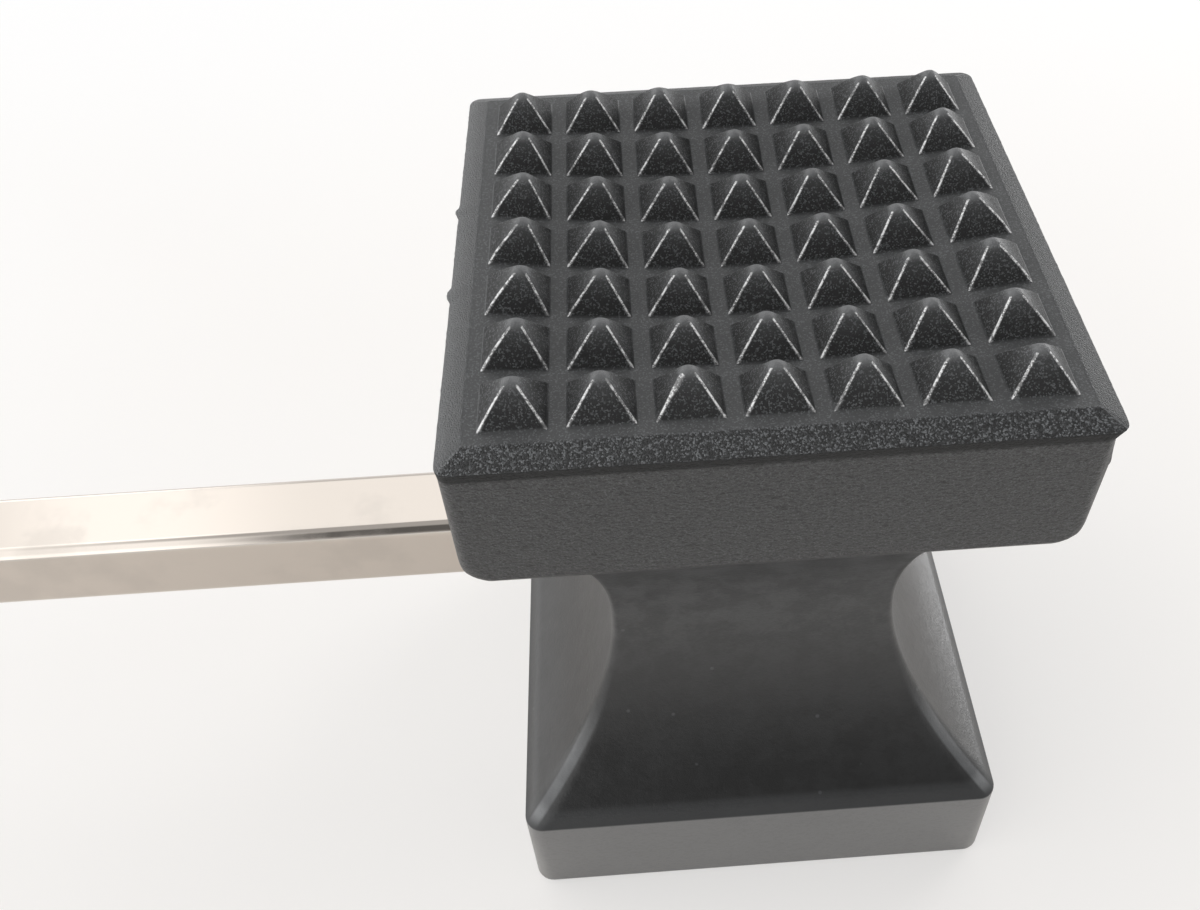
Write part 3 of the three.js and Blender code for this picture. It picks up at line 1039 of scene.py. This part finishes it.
# %% Finish of the head
def head_finish():
    """The material of the whole head, from the bare nylon through painted light and shade to the
    worn ridges.
    """
    finish = Finish(bpy.data.materials.new("moulded_black_nylon"))
    zone = head_zones(finish)
    texture = head_textures(finish)
    mark = head_marks(finish, zone, texture)
    glint, pits, rubbed = head_grains(finish, zone, texture, mark.waist_corner)

    colour = finish.blend(texture.uneven, grey(0.031, -0.03), grey(0.042, -0.03))
    # Paler tone and painted light.
    colour = finish.blend(mark.lift, colour, grey(0.12, -0.02))
    # Darker hollows and cells.
    colour = finish.blend(pits * 0.85, colour, grey(0.012))
    # Painted shade at the feet of the teeth and on the lower waist.
    colour = finish.blend(mark.foot * 0.8 + mark.waist_dark, colour, grey(0.008))
    # Painted glints.
    colour = finish.blend(glint * 0.6, colour, grey(0.45, -0.04))
    # Painted highlight on the domes and mitres, with scuffs on the domes.
    colour = finish.blend(mark.dome * 0.75 + mark.mitre * 0.6, colour, grey(0.17, -0.02))
    # Painted shade under the lip.
    colour = finish.blend(mark.under_lip * 0.8, colour, grey(0.01))
    # Worn ridges with a painted highlight.
    colour = finish.blend(rubbed, colour, grey(0.85))

    rougher = 0.12 * zone.front_bevel + 0.16 * mark.dull_bevel + 0.1 * zone.tooth
    rougher = rougher + 0.2 * mark.foot + 0.3 * mark.under_lip
    upper_coat = zone.upper_wall * (0.25 - 0.25 * mark.under_lip)
    return finish.surface(
        Base_Color=colour,
        Roughness=0.5 + rougher - 0.1 * zone.waist + 0.12 * (texture.uneven - 0.5),
        Coat_Weight=zone.lower_wall + zone.waist * 0.2 + upper_coat,
        Coat_Roughness=0.35,
        Normal=finish.bump(head_height(zone, texture), MM),
    )


head.data.materials.clear()
head.data.materials.append(head_finish())
print("nodes in the head's material:", len(head.data.materials[0].node_tree.nodes))

# %% [markdown]
# Polished steel has hardly any colour of its own. What tells it from chrome is how it was
# polished: faint lines along the tube, a soft waviness of the flat sides, and a few smudges
# that dull the mirror. The pin is plain drawn wire, rougher, with lines along it.

# %% Finish of the tube and the pin
def tube_finish():
    """Polished steel with faint lines, a soft waviness and a few smudges."""
    finish = Finish(bpy.data.materials.new("polished_steel"))
    lines = finish.grain(0.35 * MM, detail=2.0, stretch=(0.02, 1, 1))
    waviness = finish.grain(14 * MM, detail=1.0, stretch=(0.35, 1, 1))
    smudge = finish.rise(finish.grain(11 * MM, detail=4.0), 0.5, 0.7)
    clean, smudged = (0.64, 0.585, 0.53, 1), (0.55, 0.505, 0.46, 1)
    colour = finish.blend(smudge * 0.5, clean, smudged)
    return finish.surface(
        Base_Color=colour,
        Metallic=1.0,
        Roughness=0.07 + 0.1 * smudge + 0.04 * lines,
        Normal=finish.bump(lines * 0.02 + waviness, 0.05 * MM),
    )


def pin_finish():
    """Drawn wire, with faint lines along the pin."""
    finish = Finish(bpy.data.materials.new("drawn_steel"))
    lines = finish.grain(0.15 * MM, stretch=(1, 0.05, 1))
    colour = finish.blend(lines, grey(0.36, 0.02), grey(0.5, 0.02))
    return finish.surface(
        Base_Color=colour,
        Metallic=1.0,
        Roughness=0.3 + 0.15 * lines,
        Normal=finish.bump(lines, 0.02 * MM),
    )


tube.data.materials.clear()
tube.data.materials.append(tube_finish())
pin.data.materials.append(pin_finish())

# %% [markdown]
# The plug is taken to be nylon too, from a smoother mould than the head's. A dark, cloudy
# colour, a satin shine and a very fine grain are enough for a piece this small.

# %% Finish of the plug
def plug_finish():
    """Satin black nylon."""
    finish = Finish(bpy.data.materials.new("satin_black_nylon"))
    fine = finish.grain(0.25 * MM)
    cloud = finish.grain(3 * MM, detail=2.0)
    colour = finish.blend(cloud, grey(0.022, -0.02), grey(0.034, -0.02))
    return finish.surface(
        Base_Color=colour,
        Roughness=0.4 + 0.15 * cloud,
        Normal=finish.bump(fine, 0.04 * MM),
    )


plug.data.materials.append(plug_finish())
print("finishes:", [material.name for material in bpy.data.materials])

# %% [markdown]
# The stage is a plain pale floor under soft light. The head is dark and half glossy, so most
# of what shows on it is what it mirrors: the room is bright on the left, behind, and low on
# the right, dimmer in front, and dark round the camera, which sets the dark faces of the
# teeth apart. The floor is palest far away, and it glows where the camera sees it, most of
# all far away, so it looks white and keeps its shadows. Where the camera sees the room past
# the floor, the room is plain white. What is mirrored gets a small share of both whites.

# %% A share of plain white
FLOOR_GLOW_SEEN = 0.5
FAR_FLOOR_GLOW = 0.3
FLOOR_GLOW_MIRRORED = 0.12
ROOM_WHITE_MIRRORED = 0.12


def white_share(finish, where_seen, where_mirrored):
    """One share for what the camera sees, and one for what is mirrored or seen through."""
    seen = finish.node("ShaderNodeLightPath", output="Is Camera Ray")
    mirrored = finish.node("ShaderNodeLightPath", output="Is Glossy Ray")
    through = finish.node("ShaderNodeLightPath", output="Is Transmission Ray")
    return seen * where_seen + (mirrored + through) * where_mirrored


# %% Floor
FLOOR_HALF = 3.0
FAR_FROM, FAR_TO = 0.08, 0.3


def floor_finish():
    """Matt and pale, a little cloudy near the mallet and palest far away."""
    finish = Finish(bpy.data.materials.new("pale_floor"))
    x, y, _ = finish.axes()
    far = finish.rise(abs(x).larger(abs(y)), FAR_FROM, FAR_TO)
    cloud = finish.grain(60 * MM, detail=2.0)
    colour = finish.blend(cloud, grey(0.86, 0.05), grey(0.9, 0.05))
    colour = finish.blend(far, colour, grey(0.96))
    matt = finish.node("ShaderNodeBsdfPrincipled", inputs={"Base Color": colour, "Roughness": 0.8})
    glow = finish.node("ShaderNodeEmission", inputs={"Color": (1, 1, 1, 1), "Strength": 1.0})
    seen_share = FLOOR_GLOW_SEEN + FAR_FLOOR_GLOW * far
    share = white_share(finish, seen_share, FLOOR_GLOW_MIRRORED)
    return finish.end(finish.node("ShaderNodeMixShader", inputs={0: share, 1: matt, 2: glow}))


def build_floor():
    """A large square at the height of the smooth face."""
    bm = bmesh.new()
    corners = [(-1, -1), (1, -1), (1, 1), (-1, 1)]
    bm.faces.new([bm.verts.new((x * FLOOR_HALF, y * FLOOR_HALF, 0)) for x, y in corners])
    mesh = as_mesh(bm, "floor")
    mesh.materials.append(floor_finish())
    floor = add_object("floor", mesh)


build_floor()
print("floor is", 2 * FLOOR_HALF, "m wide")

# %% Brightness of the room, by direction
FRONT_OF_ROOM = 0.4
BACK_OF_ROOM = 0.82
ROUND_CAMERA = 0.03
TO_CAMERA_Y, TO_CAMERA_Z = -0.8, 0.6
LEFT_WALL_LOW, LEFT_WALL_HIGH = 2.0, 1.6
LEFT_CORNER, FAR_LEFT_CORNER = 1.15, 0.65
RIGHT_WALL_LOW, RIGHT_WALL_HIGH = 1.6, 0.4
CEILING = 0.5


def build_world():
    """A soft room: one blend for each direction, then plain white where the camera sees it."""
    world = bpy.data.worlds.new("soft_room")
    bpy.context.scene.world = world
    finish = Finish(world)
    x, y, z = finish.split(finish.node("ShaderNodeTexCoord", output="Generated"))
    high = finish.rise(z, 0.35, 0.55)

    colour = finish.blend(finish.rise(y, -0.2, 0.5), grey(FRONT_OF_ROOM), grey(BACK_OF_ROOM))
    round_camera = finish.rise(y * TO_CAMERA_Y + z * TO_CAMERA_Z, 0.8, 0.93)
    colour = finish.blend(round_camera, colour, grey(ROUND_CAMERA))

    to_the_left = 0 - x
    left_wall = finish.blend(high, grey(LEFT_WALL_LOW), grey(LEFT_WALL_HIGH))
    far_left = finish.rise(to_the_left, 0.42, 0.52)
    left_corner = finish.blend(far_left, grey(LEFT_CORNER), grey(FAR_LEFT_CORNER))
    high_and_behind = high * finish.rise(y, 0.35, 0.5)
    left_wall = finish.blend(high_and_behind, left_wall, left_corner)
    colour = finish.blend(finish.rise(to_the_left, 0.26, 0.38), colour, left_wall)

    over_right = finish.rise(z, 0.2, 0.4)
    right_wall = finish.blend(over_right, grey(RIGHT_WALL_LOW), grey(RIGHT_WALL_HIGH))
    colour = finish.blend(finish.rise(x, 0.35, 0.55), colour, right_wall)
    colour = finish.blend(finish.rise(z, 0.86, 0.96), colour, grey(CEILING))

    white = white_share(finish, 1.0, ROOM_WHITE_MIRRORED)
    colour = finish.blend(white, colour, grey(1.0))
    background = finish.node("ShaderNodeBackground", inputs={"Color": colour, "Strength": 1.0})
    finish.end(background, "ShaderNodeOutputWorld")


build_world()
print("world:", bpy.context.scene.world.name)

# %% Lamps
HEAD_MIDDLE = Vector((0, 0, FACE_TOP / 2))


def add_lamp(name, place, size, power):
    """A square softbox that faces the middle of the head."""
    data = bpy.data.lights.new(name, "AREA")
    data.shape = "SQUARE"
    data.size = size
    data.energy = power
    lamp = add_object(name, data)
    lamp.location = place
    lamp.rotation_euler = (HEAD_MIDDLE - Vector(place)).to_track_quat("-Z", "Y").to_euler()
    print(name, "has", power, "W")


add_lamp("softbox_right", (0.78, 0.62, 0.18), 0.45, 6.0)
add_lamp("softbox_left", (-0.9, 0.15, 0.16), 0.5, 1.5)
add_lamp("softbox_above", (-0.335, 0.58, 0.76), 0.65, 0.7)

# %% [markdown]
# The camera stands where the photograph was taken from. Its place and its lens were solved
# from the rows of teeth and the edges of both blocks. The small shift is there because the
# picture is not centred on the lens's axis.

# %% Camera
CAMERA_PLACE = Vector((-11.93 * MM, -97.04 * MM, FACE_TOP + 73.43 * MM))
CAMERA_AZIMUTH = math.radians(2.46)
CAMERA_ELEVATION = math.radians(46.43)
CAMERA_ROLL = math.radians(-1.87)
PHOTO_WIDTH, PHOTO_HEIGHT = 1200, 910
FOCAL_PIXELS = 1183.2
AXIS_COLUMN, AXIS_ROW = 678.6, 429.5
NEAREST_SEEN = 5 * MM


def build_camera():
    """The camera at its solved place, turned by its azimuth, its elevation and its roll."""
    data = bpy.data.cameras.new("camera")
    data.lens = data.sensor_width * FOCAL_PIXELS / PHOTO_WIDTH
    data.shift_x = (PHOTO_WIDTH / 2 - AXIS_COLUMN) / PHOTO_WIDTH
    data.shift_y = (AXIS_ROW - PHOTO_HEIGHT / 2) / PHOTO_WIDTH
    data.clip_start = NEAREST_SEEN
    camera = add_object("camera", data)
    level = math.cos(CAMERA_ELEVATION)
    forward = Vector((
        math.sin(CAMERA_AZIMUTH) * level,
        math.cos(CAMERA_AZIMUTH) * level,
        -math.sin(CAMERA_ELEVATION),
    ))
    flat_right = Vector((math.cos(CAMERA_AZIMUTH), -math.sin(CAMERA_AZIMUTH), 0))
    flat_up = flat_right.cross(forward)
    right = flat_right * math.cos(CAMERA_ROLL) + flat_up * math.sin(CAMERA_ROLL)
    up = right.cross(forward)
    axes = Matrix((right, up, -forward)).transposed().to_4x4()
    camera.matrix_world = Matrix.Translation(CAMERA_PLACE) @ axes
    bpy.context.scene.camera = camera
    print("camera is", round((CAMERA_PLACE - HEAD_MIDDLE).length / MM), "mm from the head")


build_camera()
bpy.context.scene.view_settings.view_transform = "Standard"
